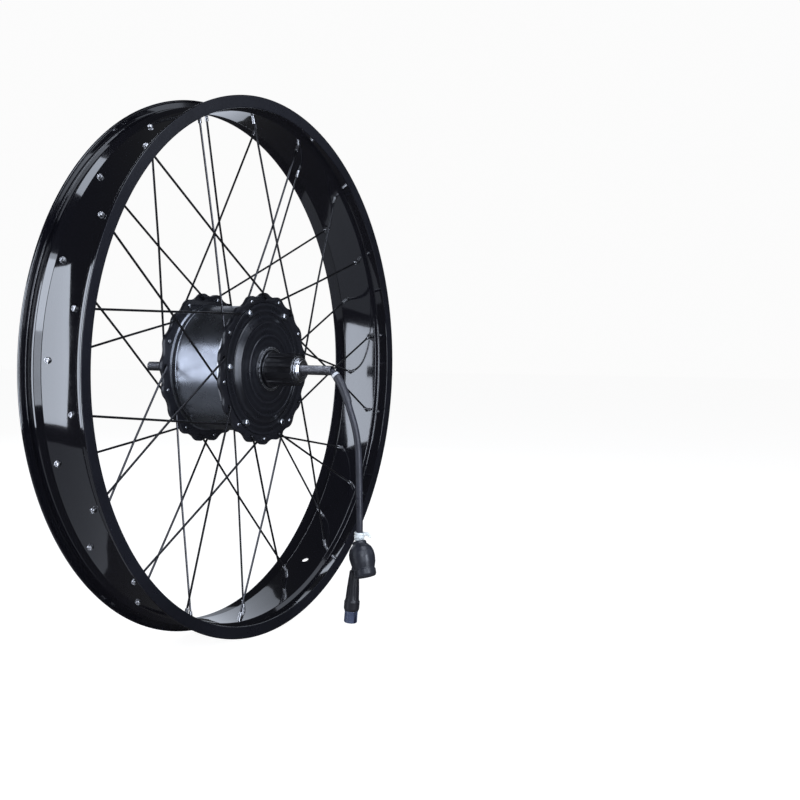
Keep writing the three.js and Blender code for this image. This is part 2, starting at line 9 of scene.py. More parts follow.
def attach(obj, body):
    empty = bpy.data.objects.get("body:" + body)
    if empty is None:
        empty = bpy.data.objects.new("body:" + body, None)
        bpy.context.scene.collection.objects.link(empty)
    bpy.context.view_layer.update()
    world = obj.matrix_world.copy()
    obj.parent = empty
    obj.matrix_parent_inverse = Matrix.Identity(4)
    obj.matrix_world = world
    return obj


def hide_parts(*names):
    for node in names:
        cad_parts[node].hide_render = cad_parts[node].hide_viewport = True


# A fat-bike rear wheel with a geared hub motor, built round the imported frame. The axle lies along Y.
# Lengths of the wheel are in millimetres and become metres through MM. The camera, the floor and the
# lamps are in metres. Angles round the wheel are in degrees and go from +X to +Z.
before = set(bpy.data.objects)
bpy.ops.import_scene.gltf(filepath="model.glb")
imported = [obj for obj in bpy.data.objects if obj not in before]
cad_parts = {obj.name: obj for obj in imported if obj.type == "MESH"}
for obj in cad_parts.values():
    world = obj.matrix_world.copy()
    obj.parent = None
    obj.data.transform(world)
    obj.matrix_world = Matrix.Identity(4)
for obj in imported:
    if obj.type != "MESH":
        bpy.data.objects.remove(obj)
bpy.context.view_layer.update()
MM = 0.001

# ---------------------------------------------------------------- camera
CAMERA_AZIMUTH = -54.716
CAMERA_ELEVATION = 1.255
CAMERA_DISTANCE = 1.463
CAMERA_YAW = -7.016
CAMERA_PITCH = 1.276
CAMERA_ROLL = 0.728
CAMERA_LENS = 60.5


def direction(azimuth, elevation):
    a, e = math.radians(azimuth), math.radians(elevation)
    return Vector((math.sin(a) * math.cos(e), -math.cos(a) * math.cos(e), math.sin(e)))


def add_camera():
    place = direction(CAMERA_AZIMUTH, CAMERA_ELEVATION) * CAMERA_DISTANCE
    back = direction(CAMERA_AZIMUTH + CAMERA_YAW, CAMERA_ELEVATION + CAMERA_PITCH)
    right = Vector((0, 0, 1)).cross(back).normalized()
    up = back.cross(right)
    roll = math.radians(CAMERA_ROLL)
    across = right * math.cos(roll) + up * math.sin(roll)
    above = up * math.cos(roll) - right * math.sin(roll)
    turn = Matrix((across, above, back)).transposed().to_4x4()
    data = bpy.data.cameras.new("camera")
    data.lens = CAMERA_LENS
    data.sensor_width = 36
    data.clip_start = 0.05
    camera = bpy.data.objects.new("camera", data)
    camera.matrix_world = Matrix.Translation(place) @ turn
    bpy.context.scene.collection.objects.link(camera)
    bpy.context.scene.camera = camera


add_camera()


# ---------------------------------------------------------------- materials
class Shader:
    """A principled material with helpers for procedural detail in object space."""

    def __init__(self, name, colour, metallic, roughness, **sockets):
        self.material = bpy.data.materials.new(name)
        self.material.use_nodes = True
        self.nodes = self.material.node_tree.nodes
        self.links = self.material.node_tree.links
        self.bsdf = self.nodes["Principled BSDF"]
        self.colour = (*colour, 1)
        self.bsdf.inputs["Base Color"].default_value = self.colour
        self.bsdf.inputs["Metallic"].default_value = metallic
        self.bsdf.inputs["Roughness"].default_value = roughness
        for socket, value in sockets.items():
            self.bsdf.inputs[socket.replace("_", " ")].default_value = value
        self.place = self.nodes.new("ShaderNodeTexCoord").outputs["Object"]
        self.bump = None

    def noise(self, scale, detail=3, stretch=(1, 1, 1)):
        mapping = self.nodes.new("ShaderNodeMapping")
        mapping.inputs["Scale"].default_value = stretch
        self.links.new(self.place, mapping.inputs["Vector"])
        texture = self.nodes.new("ShaderNodeTexNoise")
        texture.inputs["Scale"].default_value = scale
        texture.inputs["Detail"].default_value = detail
        self.links.new(mapping.outputs["Vector"], texture.inputs["Vector"])
        return texture.outputs["Fac"]

    def rings(self, scale, distortion=0.6):
        texture = self.nodes.new("ShaderNodeTexWave")
        texture.wave_type = "RINGS"
        texture.rings_direction = "Y"
        texture.inputs["Scale"].default_value = scale
        texture.inputs["Distortion"].default_value = distortion
        texture.inputs["Detail"].default_value = 2
        self.links.new(self.place, texture.inputs["Vector"])
        return texture.outputs["Fac"]

    def bands(self, scale):
        texture = self.nodes.new("ShaderNodeTexWave")
        texture.bands_direction = "Y"
        texture.inputs["Scale"].default_value = scale
        self.links.new(self.place, texture.inputs["Vector"])
        return texture.outputs["Fac"]

    def ranged(self, value, low, high, start=0.3, stop=0.7):
        node = self.nodes.new("ShaderNodeMapRange")
        self.links.new(value, node.inputs["Value"])
        node.inputs["From Min"].default_value = start
        node.inputs["From Max"].default_value = stop
        node.inputs["To Min"].default_value = low
        node.inputs["To Max"].default_value = high
        return node.outputs["Result"]

    def tinted(self, value, other, start=0.35, stop=0.65):
        """Blends the base colour towards another where value rises."""
        mix = self.nodes.new("ShaderNodeMix")
        mix.data_type = "RGBA"
        self.links.new(self.ranged(value, 0, 1, start, stop), mix.inputs["Factor"])
        source = self.bsdf.inputs["Base Color"]
        if source.links:
            self.links.new(source.links[0].from_socket, mix.inputs["A"])
        else:
            mix.inputs["A"].default_value = self.colour
        mix.inputs["B"].default_value = (*other, 1)
        self.links.new(mix.outputs["Result"], source)
        return self

    def rough(self, value, low, high):
        self.links.new(self.ranged(value, low, high), self.bsdf.inputs["Roughness"])
        return self

    def raised(self, value, height_mm, strength=0.5):
        node = self.nodes.new("ShaderNodeBump")
        node.inputs["Strength"].default_value = strength
        node.inputs["Distance"].default_value = height_mm * MM
        self.links.new(value, node.inputs["Height"])
        if self.bump:
            self.links.new(self.bump, node.inputs["Normal"])
        self.bump = node.outputs["Normal"]
        self.links.new(self.bump, self.bsdf.inputs["Normal"])
        return self

    def worn(self, colour, start):
        """Brighter metal along convex edges, where Pointiness rises above start."""
        pointed = self.nodes.new("ShaderNodeNewGeometry").outputs["Pointiness"]
        return self.tinted(pointed, colour, start, start + 0.06)


def anodised(name, colour, roughness, grain, metallic=0.35, uneven=1.5):
    shader = Shader(name, colour, metallic, roughness, Coat_Weight=0.15, Coat_Roughness=0.2)
    shader.tinted(shader.noise(9), [c * uneven for c in colour])
    shader.rough(shader.noise(55, 5), roughness - 0.05, roughness + 0.07)
    shader.raised(shader.noise(grain, 4), 0.04, 0.25)
    return shader


def turned_metal(name, colour, roughness, rings, metallic=1.0):
    shader = Shader(name, colour, metallic, roughness)
    shader.tinted(shader.noise(70, 4), [c * 0.72 for c in colour])
    shader.rough(shader.rings(rings), roughness - 0.06, roughness + 0.09)
    shader.raised(shader.rings(rings * 2.3), 0.02, 0.25)
    return shader


def moulded(name, colour, roughness, height, metallic=0.0, **sockets):
    shader = Shader(name, colour, metallic, roughness, **sockets)
    shader.tinted(shader.noise(40, 4), [c * 1.45 for c in colour])
    shader.rough(shader.noise(140, 4), roughness - 0.06, roughness + 0.1)
    shader.raised(shader.noise(900, 3), height, 0.35)
    return shader


RIM_GLOSS = Shader("rim_gloss", (0.004, 0.004, 0.006), 0.0, 0.07, Coat_Weight=1.0, Coat_Roughness=0.04)
RIM_GLOSS.rough(RIM_GLOSS.noise(30, 5), 0.05, 0.11)
RIM_GLOSS.raised(RIM_GLOSS.noise(240, 2), 0.01, 0.05)
RIM_SATIN = anodised("rim_satin", (0.008, 0.0085, 0.0125), 0.3, 1100)
RIM_SATIN.raised(RIM_SATIN.rings(160, 0.2), 0.02, 0.2)
SHELL_BLACK = anodised("shell_satin", (0.01, 0.0105, 0.014), 0.33, 1400)
SHELL_BLACK.worn((0.2, 0.21, 0.24), 0.57)
BARREL_BLACK = anodised("barrel_black", (0.19, 0.2, 0.225), 0.28, 1400, 0.95, 1.1)
BARREL_BLACK.raised(BARREL_BLACK.bands(260), 0.012, 0.2)
WALL_BLACK = anodised("brake_wall_satin", (0.05, 0.053, 0.065), 0.32, 1500, 0.85, 1.12)
WALL_BLACK.raised(WALL_BLACK.rings(230, 0.2), 0.015, 0.2)
COVER_BLACK = anodised("cover_satin", (0.007, 0.0075, 0.01), 0.3, 1500)
COVER_BLACK.tinted(COVER_BLACK.rings(48, 1.5), (0.016, 0.017, 0.022), 0.6, 0.95)
COVER_BLACK.raised(COVER_BLACK.rings(230, 0.2), 0.015, 0.2)
BARE_FACE = turned_metal("bare_aluminium", (0.74, 0.75, 0.77), 0.26, 170)
SPOKE_BLACK = turned_metal("spoke_black", (0.045, 0.045, 0.05), 0.22, 240, 0.85)
SPOKE_HEAD = turned_metal("spoke_head_steel", (0.62, 0.63, 0.66), 0.24, 300)
NIPPLE_STEEL = turned_metal("nipple_nickel", (0.78, 0.78, 0.8), 0.28, 350)
SCREW_STEEL = turned_metal("screw_zinc", (0.66, 0.68, 0.72), 0.22, 420)
MACHINED = turned_metal("machined_steel", (0.58, 0.59, 0.62), 0.24, 260)
CHROME = turned_metal("locknut_chrome", (0.82, 0.83, 0.86), 0.2, 200)
RING_SATIN = turned_metal("flange_ring_satin", (0.6, 0.61, 0.64), 0.3, 200)
FREEHUB_BLACK = turned_metal("freehub_black", (0.02, 0.02, 0.024), 0.26, 210, 0.6)
FREEHUB_BLACK.bsdf.inputs["Coat Weight"].default_value = 1.0
FREEHUB_BLACK.bsdf.inputs["Coat Roughness"].default_value = 0.15
AXLE_DARK = turned_metal("axle_dark_steel", (0.16, 0.16, 0.175), 0.42, 320, 0.9)
AXLE_DARK.tinted(AXLE_DARK.noise(420, 4), (0.3, 0.3, 0.31), 0.52, 0.68)
LAMINATION = turned_metal("stator_lamination", (0.36, 0.37, 0.4), 0.42, 90)
LAMINATION.raised(LAMINATION.bands(620), 0.12, 0.6)
COPPER = Shader("enamelled_copper", (0.55, 0.2, 0.08), 0.9, 0.3, Coat_Weight=0.6)
COPPER.tinted(COPPER.noise(60), (0.7, 0.32, 0.14)).raised(COPPER.rings(330, 3), 0.3, 0.7)
MAGNET = moulded("magnet_nickel", (0.3, 0.3, 0.32), 0.3, 0.03, 0.9)
NYLON = moulded("gear_nylon", (0.74, 0.7, 0.58), 0.42, 0.02, 0.0, Subsurface_Weight=0.1)
BOARD = moulded("sensor_board", (0.03, 0.17, 0.07), 0.35, 0.02)
RUBBER = moulded("black_rubber", (0.01, 0.01, 0.013), 0.34, 0.04)
BOOT_RUBBER = moulded("boot_rubber", (0.014, 0.015, 0.02), 0.34, 0.03)
SLEEVE_GREY = moulded("sleeve_grey", (0.026, 0.027, 0.033), 0.38, 0.04)
CABLE_GREY = moulded("cable_grey", (0.024, 0.025, 0.033), 0.32, 0.03)
INNER_WHITE = moulded("inner_sheath_white", (0.42, 0.43, 0.45), 0.35, 0.02)
TIE_WHITE = moulded("tie_nylon", (0.74, 0.78, 0.79), 0.28, 0.02, 0.0, Transmission_Weight=0.35)
COLLAR_BLUE = moulded("collar_plastic", (0.05, 0.062, 0.105), 0.2, 0.01, 0.0, Transmission_Weight=0.3)
COLLAR_BLUE.tinted(COLLAR_BLUE.noise(260, 2, (1, 1, 0.05)), (0.012, 0.015, 0.03), 0.5, 0.62)
PIN_GOLD = turned_metal("pin_gold", (0.75, 0.55, 0.2), 0.2, 500)


# ---------------------------------------------------------------- mesh helpers
def polar(radius, degrees, y=0.0):
    """The point at a radius and an angle round the axle."""
    a = math.radians(degrees)
    return Vector((radius * math.cos(a), y, radius * math.sin(a)))


def flat_polar(radius, degrees):
    """The same point as (x, z), for the loops of a plate."""
    at = polar(radius, degrees)
    return at.x, at.z


ON_AXIS = 1e-6  # a radius below this counts as none
NEARLY_STRAIGHT = math.radians(170)
GUARD = 0.15  # from the end of a rounded corner to the point that keeps the next flat shaded flat


def corner_curve(first, corner, last, steps):
    """Points from first to last along a curve that leans towards the corner."""
    parts = [s / steps for s in range(steps + 1)]
    return [first * (1 - t) ** 2 + corner * (2 * t * (1 - t)) + last * t * t for t in parts]


def rounded(outline, radius, steps=3):
    """Each corner of a closed (radius, y) outline becomes a short curve. Points on the axis stay."""
    points = [Vector(p) for p in outline]
    result = []
    for i, corner in enumerate(points):
        back = points[i - 1] - corner
        ahead = points[(i + 1) % len(points)] - corner
        angle = back.angle(ahead)
        if corner.x < ON_AXIS or angle > NEARLY_STRAIGHT:
            result.append(corner)
            continue
        reach = min(radius / math.tan(angle / 2), 0.4 * back.length, 0.4 * ahead.length)
        first = corner + back.normalized() * reach
        last = corner + ahead.normalized() * reach
        result.append(first + back.normalized() * min(GUARD, 0.05 * back.length))
        result.extend(corner_curve(first, corner, last, steps))
        result.append(last + ahead.normalized() * min(GUARD, 0.05 * ahead.length))
    return result


def revolved(outline, segments, warp=None):
    """Turns an outline of (radius, y) points about Y. warp(radius, y, degrees) may change the radius."""
    outline = [Vector(p) for p in outline]
    mesh = bmesh.new()
    rings = []
    for radius, y in outline:
        if radius < ON_AXIS:
            rings.append([mesh.verts.new((0, y, 0))] * segments)
            continue
        ring = []
        for s in range(segments):
            degrees = 360 * s / segments
            reach = warp(radius, y, degrees) if warp else radius
            ring.append(mesh.verts.new(polar(reach, degrees, y)))
        rings.append(ring)
    solid = outline[0].x < ON_AXIS and outline[-1].x < ON_AXIS
    for i in range(len(rings) - 1 if solid else len(rings)):
        near, far = rings[i], rings[(i + 1) % len(rings)]
        for s in range(segments):
            corners = [near[s], near[(s + 1) % segments], far[(s + 1) % segments], far[s]]
            unique = list(dict.fromkeys(corners))
            if len(unique) > 2:
                mesh.faces.new(unique)
    bmesh.ops.recalc_face_normals(mesh, faces=mesh.faces)
    return mesh


SHARP_EDGE = 1.0  # radians between two faces of a plate from which their edge is softened


def plate(outline, holes, y0, y1, bevel):
    """A flat plate square to Y, with holes and softened edges. Loops hold (x, z) points."""
    mesh = bmesh.new()
    loops = [outline, *holes]
    bottom = [[mesh.verts.new((x, y0, z)) for x, z in loop] for loop in loops]
    top = [[mesh.verts.new((x, y1, z)) for x, z in loop] for loop in loops]
    lower, upper = sum(bottom, []), sum(top, [])
    triangles = tessellate_polygon([[Vector((x, z, 0)) for x, z in loop] for loop in loops])
    for a, b, c in triangles:
        mesh.faces.new((lower[a], lower[b], lower[c]))
        mesh.faces.new((upper[c], upper[b], upper[a]))
    for low, high in zip(bottom, top):
        for i in range(len(low)):
            j = (i + 1) % len(low)
            mesh.faces.new((low[i], low[j], high[j], high[i]))
    bmesh.ops.recalc_face_normals(mesh, faces=mesh.faces)
    if bevel:
        edges = [e for e in mesh.edges if len(e.link_faces) == 2 and e.calc_face_angle(0) > SHARP_EDGE]
        bmesh.ops.bevel(
            mesh, geom=edges, offset=bevel, segments=2, profile=0.5, affect="EDGES", clamp_overlap=True
        )
    return mesh


def circle(radius, steps, x=0.0, z=0.0):
    turns = [2 * math.pi * k / steps for k in range(steps)]
    return [(x + radius * math.cos(a), z + radius * math.sin(a)) for a in turns]


def softened(points, radius, steps=4):
    """A path whose inner corners become curves."""
    result = [points[0]]
    for before, corner, after in zip(points, points[1:], points[2:]):
        back, ahead = before - corner, after - corner
        angle = back.angle(ahead)
        reach = min(radius / math.tan(angle / 2), 0.48 * back.length, 0.48 * ahead.length)
        first = corner + back.normalized() * reach
        last = corner + ahead.normalized() * reach
        result.extend(corner_curve(first, corner, last, steps))
    return [*result, points[-1]]


def tube(points, radii, sides):
    """A closed tube along a path. radii is one number or one for each point."""
    if not isinstance(radii, (list, tuple)):
        radii = [radii] * len(points)
    mesh = bmesh.new()
    side = None
    rings = []
    for i, point in enumerate(points):
        ahead = points[min(i + 1, len(points) - 1)] - points[max(i - 1, 0)]
        ahead.normalize()
        if side is None:
            side = ahead.orthogonal().normalized()
        side = (side - ahead * side.dot(ahead)).normalized()
        other = ahead.cross(side)
        turns = [2 * math.pi * k / sides for k in range(sides)]
        spots = [point + (side * math.cos(a) + other * math.sin(a)) * radii[i] for a in turns]
        rings.append([mesh.verts.new(spot) for spot in spots])
    for near, far in zip(rings, rings[1:]):
        for k in range(sides):
            mesh.faces.new((near[k], near[(k + 1) % sides], far[(k + 1) % sides], far[k]))
    mesh.faces.new(rings[0])
    mesh.faces.new(rings[-1])
    bmesh.ops.recalc_face_normals(mesh, faces=mesh.faces)
    return mesh


def laid(mesh, at, along):
    """Moves a mesh made along +Y so that it starts at a point and runs in a direction."""
    turn = Vector((0, 1, 0)).rotation_difference(along).to_matrix().to_4x4()
    mesh.transform(Matrix.Translation(at) @ turn)
    return mesh


def merged(*meshes):
    """One mesh that holds several, each with its own closed surface."""
    result = bmesh.new()
    for mesh in meshes:
        data = bpy.data.meshes.new("part")
        mesh.to_mesh(data)
        result.from_mesh(data)
        bpy.data.meshes.remove(data)
    return result


def temporary(mesh):
    """An object for one boolean, taken out again by combined."""
    data = bpy.data.meshes.new("temporary")
    mesh.to_mesh(data)
    thing = bpy.data.objects.new("temporary", data)
    bpy.context.scene.collection.objects.link(thing)
    return thing


def combined(base, tools, operation):
    """Joins or cuts closed meshes and gives the result back."""
    body = temporary(base)
    others = [temporary(tool) for tool in tools]
    for other in others:
        modifier = body.modifiers.new("boolean", "BOOLEAN")
        modifier.operation = operation
        modifier.solver = "EXACT"
        modifier.object = other
    bpy.context.view_layer.update()
    depsgraph = bpy.context.evaluated_depsgraph_get()
    data = bpy.data.meshes.new_from_object(body.evaluated_get(depsgraph))
    result = bmesh.new()
    result.from_mesh(data)
    for thing in (body, *others):
        bpy.data.objects.remove(thing)
    bpy.data.meshes.remove(data)
    return result


SQUARE_TO_AXLE = 0.9999  # a face whose normal has at least this much Y is shaded flat


def piece(name, mesh, shader, body, nodes=(), sharp=32, others=()):
    """Makes an object that rides on a body and stands in for CAD nodes.

    Edges sharper than sharp degrees stay hard. others holds pairs of a further shader and a test of a
    face's place and normal, and gives the shader to the faces that pass.
    """
    bmesh.ops.scale(mesh, vec=(MM, MM, MM), verts=mesh.verts)
    data = bpy.data.meshes.new(name)
    mesh.to_mesh(data)
    mesh.free()
    data.materials.append(shader.material)
    data.polygons.foreach_set("material_index", [0] * len(data.polygons))
    for index, (other, chosen) in enumerate(others, 1):
        data.materials.append(other.material)
        for face in data.polygons:
            if chosen(face.center / MM, face.normal):
                face.material_index = index
    data.polygons.foreach_set("use_smooth", [abs(face.normal.y) < SQUARE_TO_AXLE for face in data.polygons])
    data.set_sharp_from_angle(angle=math.radians(sharp))
    thing = bpy.data.objects.new(name, data)
    bpy.context.scene.collection.objects.link(thing)
    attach(thing, body)
    if nodes:
        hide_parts(*nodes)
    return thing


# ---------------------------------------------------------------- rim
RIM_R = 286
RIM_HALF = 38
RIM_ROW_PHASE = {"drive": 8, "brake": 18}
VALVE_ANGLE = -57.5
VALVE_HOLE_R = 4.2

# ---------------------------------------------------------------- spokes and nipples
SPOKES_PER_SIDE = 18
PITCH = 360 / SPOKES_PER_SIDE
CROSSES = 2
FLANGE_PHASE = {"drive": 10, "brake": 18}
SIDE_SIGN = {"drive": -1, "brake": 1}
NIPPLE_ROW_Y = 13
NIPPLE_TOP_R = 275.4
NIPPLE_LENGTH = 13
WIRE_R = 1.15
FLANGE_Y = 39
FLANGE_T = 4.5
SPOKE_CIRCLE_R = 75
SPOKE_HOLE_R = 1.7
OUTSIDE_STAND = 1.5  # from the flange to the wire at an elbow outside it
INSIDE_STAND = 0.5  # the same at an elbow inside it
HEAD_STAND = 0.15  # from the flange to a spoke head
ELBOW_BEND_R = 2.6
CROSSING_GAP = 0.02  # half of what stays free between two spokes that cross
NIPPLE_HOLE_R = 2.4


class Spoke:
    """One spoke, whose hole says how it runs.

    Even holes lead and odd holes trail. The elbow is outside the flange at the even holes of the drive
    side and the odd holes of the brake side, and inside it elsewhere.
    """

    def __init__(self, side, hole):
        sign = SIDE_SIGN[side]
        even = hole % 2 == 0
        outside = even if side == "drive" else not even
        angle = FLANGE_PHASE[side] + PITCH * hole
        rim_angle = RIM_ROW_PHASE[side] + PITCH * (hole + (CROSSES if even else -CROSSES))
        inner_face = sign * (FLANGE_Y - FLANGE_T)
        outer_face = sign * FLANGE_Y
        self.outward = sign if outside else -sign
        self.head_sign = -self.outward
        if outside:
            elbow_y = outer_face + sign * (WIRE_R + OUTSIDE_STAND)
            head_y = inner_face + self.head_sign * HEAD_STAND
        else:
            elbow_y = inner_face - sign * (WIRE_R + INSIDE_STAND)
            head_y = outer_face + self.head_sign * HEAD_STAND
        self.elbow = polar(SPOKE_CIRCLE_R, angle, elbow_y)
        self.head = polar(SPOKE_CIRCLE_R, angle, head_y)
        self.rim = polar(NIPPLE_TOP_R, rim_angle, sign * NIPPLE_ROW_Y)


def crossing(a, b):
    """The point halfway between two spokes where they cross, seen along the axle."""
    on_a, on_b = a.rim - a.elbow, b.rim - b.elbow
    between = b.elbow - a.elbow
    determinant = on_a.x * on_b.z - on_a.z * on_b.x
    t = (between.x * on_b.z - between.z * on_b.x) / determinant
    u = (between.x * on_a.z - between.z * on_a.x) / determinant
    return (a.elbow + on_a * t + b.elbow + on_b * u) / 2


SQUARE_HALF = 1.68
SQUARE_ENDS = (1.1, 7.3)
SHANK_R = 1.95
SLOT_WIDTH = 1
SLOT_FLOOR_Y = 11.9


def square(radius, y, degrees):
    """Flattens the lower end of a nipple into the square that its key grips."""
    start, stop = SQUARE_ENDS
    if not start - 0.1 < y < stop + 0.1:
        return radius
    flat = SQUARE_HALF / math.cos(math.radians((degrees + 45) % 90 - 45))
    return min(radius, flat)


def nipple_mesh():
    """A nipple along +Y from its spoke end, with a recessed and slotted head."""
    outline = [
        (1.35, 0), (SHANK_R, 0), *((SHANK_R, y) for y in SQUARE_ENDS), (SHANK_R, 9.8),
        (3, 10.2), (3.15, 11.4), (2.5, 12.7), (1.8, 12.8), (1.5, 11.5), (0, 11.4),
    ]
    base = revolved([(0, 0), *rounded(outline, 0.25)], 20, square)
    half = SLOT_WIDTH / 2
    slot = plate([(-half, -4), (half, -4), (half, 4), (-half, 4)], [], SLOT_FLOOR_Y, 14, 0)
    return combined(base, [slot], "DIFFERENCE")


NIPPLE = nipple_mesh()


def nipple_at(spoke, out):
    return laid(NIPPLE.copy(), spoke.rim - out * NIPPLE_LENGTH, out)


def spoke_mesh(spoke, touch, out):
    """The wire from its head over the elbow and the crossing to 1 mm inside its nipple."""
    foot = spoke.rim - out * (NIPPLE_LENGTH - 1)
    path = softened([spoke.head, spoke.elbow, touch, foot], ELBOW_BEND_R)
    return tube(path, WIRE_R, 10)


def spoke_head_mesh(spoke):
    outline = [(0, -1.6), (1.2, -1.6), (1.3, -0.2), (2.2, 0), (2.25, 0.5), (1.9, 1.05), (1.1, 1.4), (0, 1.5)]
    return laid(revolved(outline, 16), spoke.head, Vector((0, spoke.head_sign, 0)))


nipple_cuts = []
for side in ("drive", "brake"):
    for k in range(SPOKES_PER_SIDE // 2):
        pair = (Spoke(side, 2 * k), Spoke(side, 2 * k + 2 * CROSSES - 1))
        middle = crossing(*pair)
        node = f"{side}_spokes_{k + 1:02d}"
        for spoke, letter in zip(pair, "ab"):
            touch = middle + Vector((0, (WIRE_R + CROSSING_GAP) * spoke.outward, 0))
            out = (spoke.rim - touch).normalized()
            name = f"{side}_spoke_{k + 1:02d}{letter}"
            stands_for = [node] if letter == "a" else []
            piece(name, spoke_mesh(spoke, touch, out), SPOKE_BLACK, "wheel", stands_for)
            piece(f"{name}_head", spoke_head_mesh(spoke), SPOKE_HEAD, "wheel")
            piece(f"{name}_nipple", nipple_at(spoke, out), NIPPLE_STEEL, "wheel")
            nipple_cuts.append(tube([spoke.rim - out * 9, spoke.rim + out * 9], NIPPLE_HOLE_R, 16))


def mirrored(points):
    return [(radius, -y) for radius, y in reversed(points)]


def rim_outline():
    """Round the section once: the side towards the hub, then the side that the tyre sits on."""
    inner = [(RIM_R, RIM_HALF), (272.8, RIM_HALF), (274.2, 32), (275.3, 24.4), (270.9, 21.5), (270, 7.5)]
    outer = [
        (272.3, 8), (273.6, 20.5), (278, 26), (278, 31.8), (277.2, 33), (277.6, 35.4), (283.5, 35.6),
        (284.4, 34.9), (RIM_R, 35.4),
    ]
    return rounded([*inner, *mirrored(inner), *mirrored(outer), *outer], 0.9, 4)


valve_cut = tube([polar(255, VALVE_ANGLE), polar(RIM_R, VALVE_ANGLE)], VALVE_HOLE_R, 24)
rim_mesh = combined(revolved(rim_outline(), 288), [merged(*nipple_cuts, valve_cut)], "DIFFERENCE")
piece(
    "rim_shell",
    rim_mesh,
    RIM_GLOSS,
    "wheel",
    ["rim"],
    others=[(RIM_SATIN, lambda at, normal: abs(at.y) > RIM_HALF - 1 and abs(normal.y) > 0.8)],
)

# ---------------------------------------------------------------- hub shell
BARREL_R = 67
COVER_R = 70.5
LOBE_R = 81
VALLEY_R = 77.5
BOSS_Y = 83
BRAKE_FACE_Y = 72.2
BRAKE_BOLTS = 6
BOLT_CIRCLE_R = 22
BOLT_HOLE_R = 2.3
BOSS_R = 20
BOSS_LOBE = 6.6
BOSS_JOIN_Y = 60
FLANGE_STEPS = 12 * SPOKES_PER_SIDE


def flange_mesh(side, bore, y0, y1):
    """A flange whose edge swells at each spoke hole, in waves a little fuller than a cosine."""
    phase = FLANGE_PHASE[side]
    swing = (LOBE_R - VALLEY_R) / 2
    outline = []
    for s in range(FLANGE_STEPS):
        degrees = 360 * s / FLANGE_STEPS
        wave = math.cos(math.radians(SPOKES_PER_SIDE * (degrees - phase)))
        reach = VALLEY_R + swing * (1 + math.copysign(abs(wave) ** 0.8, wave))
        outline.append(flat_polar(reach, degrees))
    holes = [circle(bore, 96)]
    for k in range(SPOKES_PER_SIDE):
        holes.append(circle(SPOKE_HOLE_R, 14, *flat_polar(SPOKE_CIRCLE_R, phase + PITCH * k)))
    return plate(outline, holes, y0, y1, 0.45)


def boss_mesh():
    """The six-lobed brake boss in two lengths, of which only the upper one has bolt holes."""
    outline = []
    for degrees in range(0, 360, 3):
        lobe = (0.5 + 0.5 * math.cos(math.radians(BRAKE_BOLTS * degrees))) ** 2.2
        outline.append(flat_polar(BOSS_R + BOSS_LOBE * lobe, degrees))
    bore = circle(15.5, 48)
    spots = [flat_polar(BOLT_CIRCLE_R, 360 / BRAKE_BOLTS * k) for k in range(BRAKE_BOLTS)]
    bolts = [circle(BOLT_HOLE_R, 16, x, z) for x, z in spots]
    lower = plate(outline, [bore], 42, BOSS_JOIN_Y, 0)
    upper = plate(outline, [bore, *bolts], BOSS_JOIN_Y, BRAKE_FACE_Y, 0.4)
    return lower, upper


def barrel_mesh():
    """The barrel with the ring behind the drive flange, the brake wall and the tube inside the boss."""
    outline = [
        (63, -36), (72.8, -36), (72.8, -28.8), (72, -28), (69, -28), (BARREL_R, -26), (BARREL_R, 27.5),
        (67.7, 28), (67.7, 29.4), (BARREL_R, 30), (BARREL_R, 33), (69, 35), (69, 38.6), (61, 38.7),
        (60.4, 39.8), (58.2, 40.6), (56.5, 42.6), (50, 43.6), (36, 43.6), (35, 42.4), (28.6, 42.4),
        (28, 42.9), (17, 42.9), (17, 74), (16.6, BOSS_Y - 0.4), (16.2, BOSS_Y), (11.5, BOSS_Y),
        (11.5, 81.5), (14.3, 81.5), (14.3, 39.5), (50, 39.5), (56.3, 36), (56.3, 12), (63, 9),
    ]
    return revolved(rounded(outline, 0.45, 2), 144)


def scallops():
    """Cutters that make room for the inner spoke elbows in the ring behind the drive flange."""
    cuts = []
    for k in range(SPOKES_PER_SIDE):
        degrees = FLANGE_PHASE["drive"] + PITCH * k
        cuts.append(tube([polar(SPOKE_CIRCLE_R, degrees, y) for y in (-34.2, -26)], 5.2, 20))
    return merged(*cuts)


shell = combined(barrel_mesh(), [scallops()], "DIFFERENCE")
# The edge of the ring behind the drive flange is bare, and the brake wall is a darker black.
piece(
    "hub_barrel",
    shell,
    BARREL_BLACK,
    "wheel",
    ["hub_shell"],
    others=[
        (RING_SATIN, lambda at, normal: -34 < at.y < -28.4 and math.hypot(at.x, at.z) > 72.2),
        (WALL_BLACK, lambda at, normal: at.y > 34),
    ],
)
drive_flange = flange_mesh("drive", COVER_R + 0.3, -FLANGE_Y, FLANGE_T - FLANGE_Y)
piece("drive_flange", drive_flange, SHELL_BLACK, "wheel")
brake_flange = flange_mesh("brake", 64, FLANGE_Y - FLANGE_T, FLANGE_Y)
piece("brake_flange", brake_flange, SHELL_BLACK, "wheel")
boss_lower, boss_upper = boss_mesh()
piece("brake_boss_foot", boss_lower, SHELL_BLACK, "wheel")
piece(
    "brake_boss",
    boss_upper,
    SHELL_BLACK,
    "wheel",
    others=[(BARE_FACE, lambda at, normal: at.y > BRAKE_FACE_Y - 0.3 and normal.y > 0.5)],
)

# ---------------------------------------------------------------- drive side cover and screws
COVER_SCREWS = 6
SCREW_CIRCLE_R = 66
SCREW_PHASE = -2
COVER_FACE_Y = -39.8
COVER_NOTCHES = 18
COVER_SEGMENTS = 144
LOCK_RING_TEETH = 26
SOCKET_R = 1.75
SOCKET_FLAT = 0.93  # from the middle of a socket to a flat, as a share of its radius


